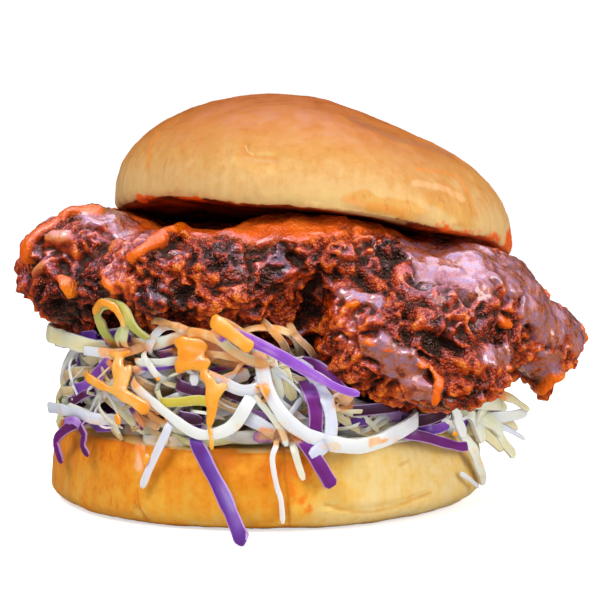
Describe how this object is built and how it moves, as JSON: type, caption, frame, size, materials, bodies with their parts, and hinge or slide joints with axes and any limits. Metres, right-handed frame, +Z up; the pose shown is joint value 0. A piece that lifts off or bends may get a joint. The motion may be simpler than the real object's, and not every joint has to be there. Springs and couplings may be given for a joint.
{
  "type": "spicy chicken sandwich",
  "caption": "Round bun sandwich with a craggy sauced fried chicken fillet that overhangs it, on a bed of shredded cabbage slaw.",
  "frame": {"origin": "middle of the bottom bun's flat foot, on the surface that the sandwich stands on", "axes": "+Z up, +X along the fillet's length to the right as the picture shows it, -Y to the front"},
  "size_m": [0.1357, 0.1201, 0.0962],
  "materials": {
    "bun_heel": "soft baked skin, satin, golden to pale yellow",
    "slaw": "moist raw cabbage, white to pale green and violet, with orange drizzle",
    "fried_chicken": "craggy crisp coating under a wet dark red-brown glaze",
    "bun_crown": "glazed baked skin, golden brown on top and pale at the lip"
  },
  "bodies": {
    "root": {"heel": "bun_heel", "slaw": "slaw", "chicken": "fried_chicken", "crown": "bun_crown"}
  },
  "joints": []
}
